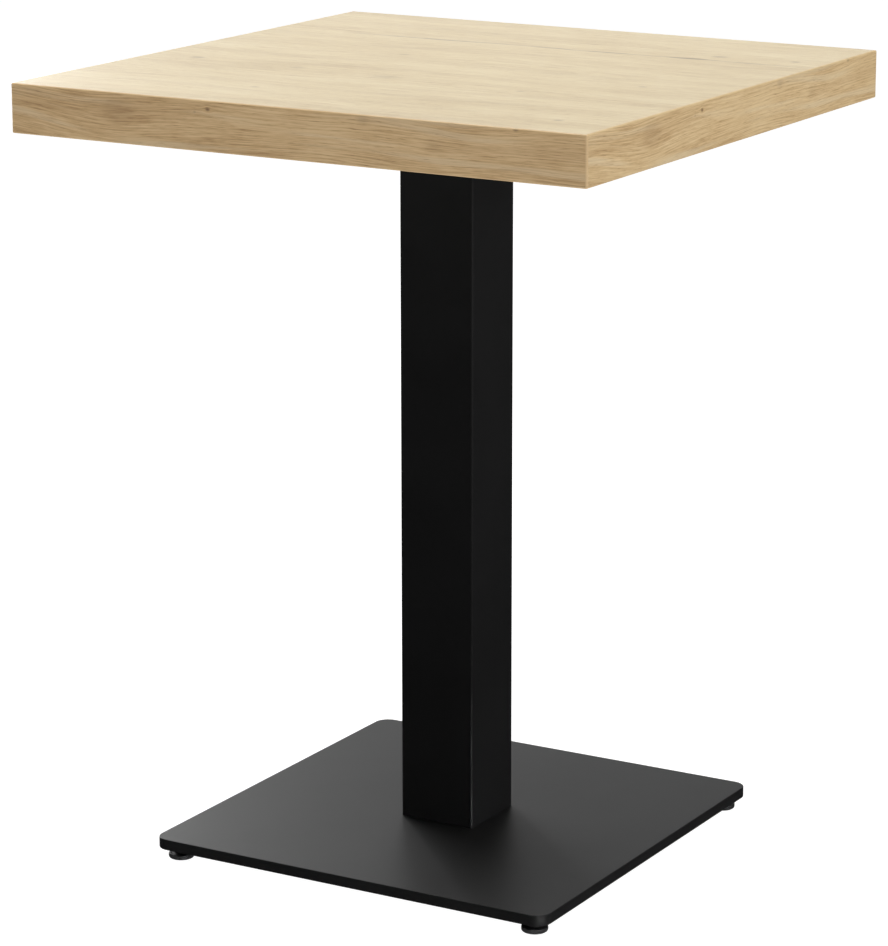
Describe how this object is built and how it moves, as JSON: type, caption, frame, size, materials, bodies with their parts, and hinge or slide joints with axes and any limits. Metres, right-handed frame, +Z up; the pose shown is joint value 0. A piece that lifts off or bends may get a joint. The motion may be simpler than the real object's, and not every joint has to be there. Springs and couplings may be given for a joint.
{
  "type": "bistro table",
  "caption": "Square pedestal table: thick oak-faced top on a square steel column and a flat square steel base with levelling feet.",
  "frame": {"origin": "on the floor, under the middle of the table", "axes": "+Z up; the front band faces -Y, the right band +X; the oak grain runs along X"},
  "size_m": [0.6, 0.6, 0.765],
  "materials": {
    "oak_decor": "matte",
    "chipboard": "matte",
    "backing_sheet": "matte",
    "black_powder_coat": "satin",
    "zinc_steel": "satin",
    "blackened_steel": "satin",
    "black_nylon": "matte"
  },
  "bodies": {
    "table": {"top_core": "chipboard", "top_face_sheet": "oak_decor", "top_backing_sheet": "backing_sheet", "edge_band_front": "oak_decor", "edge_band_right": "oak_decor", "edge_band_back": "oak_decor", "edge_band_left": "oak_decor", "top_plate": "black_powder_coat", "wood_screw_1": "zinc_steel", "wood_screw_2": "zinc_steel", "wood_screw_3": "zinc_steel", "wood_screw_4": "zinc_steel", "wood_screw_5": "zinc_steel", "wood_screw_6": "zinc_steel", "wood_screw_7": "zinc_steel", "wood_screw_8": "zinc_steel", "column_tube": "black_powder_coat", "column_foot_plate": "black_powder_coat", "base_plate": "black_powder_coat", "base_screw_1": "zinc_steel", "base_screw_2": "zinc_steel", "base_screw_3": "zinc_steel", "base_screw_4": "zinc_steel"},
    "front_left_pad": {"foot_pad_front_left": "black_nylon"},
    "front_left_stud": {"foot_stud_front_left": "blackened_steel"},
    "front_right_pad": {"foot_pad_front_right": "black_nylon"},
    "front_right_stud": {"foot_stud_front_right": "blackened_steel"},
    "back_right_pad": {"foot_pad_back_right": "black_nylon"},
    "back_right_stud": {"foot_stud_back_right": "blackened_steel"},
    "back_left_pad": {"foot_pad_back_left": "black_nylon"},
    "back_left_stud": {"foot_stud_back_left": "blackened_steel"}
  },
  "joints": [
    {"name": "front_left_level", "type": "slide", "parent": "table", "child": "front_left_pad", "axis": [0, 0, 1], "range_m": [-0.003, 0.0029]},
    {"name": "front_left_turn", "type": "hinge", "parent": "front_left_pad", "child": "front_left_stud", "pos_m": [-0.1964, -0.1964, 0.0118], "axis": [0, 0, 1], "range_deg": [-860, 830]},
    {"name": "front_right_level", "type": "slide", "parent": "table", "child": "front_right_pad", "axis": [0, 0, 1], "range_m": [-0.003, 0.0029]},
    {"name": "front_right_turn", "type": "hinge", "parent": "front_right_pad", "child": "front_right_stud", "pos_m": [0.1964, -0.1964, 0.0118], "axis": [0, 0, 1], "range_deg": [-860, 830]},
    {"name": "back_right_level", "type": "slide", "parent": "table", "child": "back_right_pad", "axis": [0, 0, 1], "range_m": [-0.003, 0.0029]},
    {"name": "back_right_turn", "type": "hinge", "parent": "back_right_pad", "child": "back_right_stud", "pos_m": [0.1964, 0.1964, 0.0118], "axis": [0, 0, 1], "range_deg": [-860, 830]},
    {"name": "back_left_level", "type": "slide", "parent": "table", "child": "back_left_pad", "axis": [0, 0, 1], "range_m": [-0.003, 0.0029]},
    {"name": "back_left_turn", "type": "hinge", "parent": "back_left_pad", "child": "back_left_stud", "pos_m": [-0.1964, 0.1964, 0.0118], "axis": [0, 0, 1], "range_deg": [-860, 830]}
  ],
  "couplings": [
    {"joint": "front_left_level", "follows": "front_left_turn", "m_per_rad": 0.00019894},
    {"joint": "front_right_level", "follows": "front_right_turn", "m_per_rad": 0.00019894},
    {"joint": "back_right_level", "follows": "back_right_turn", "m_per_rad": 0.00019894},
    {"joint": "back_left_level", "follows": "back_left_turn", "m_per_rad": 0.00019894}
  ]
}
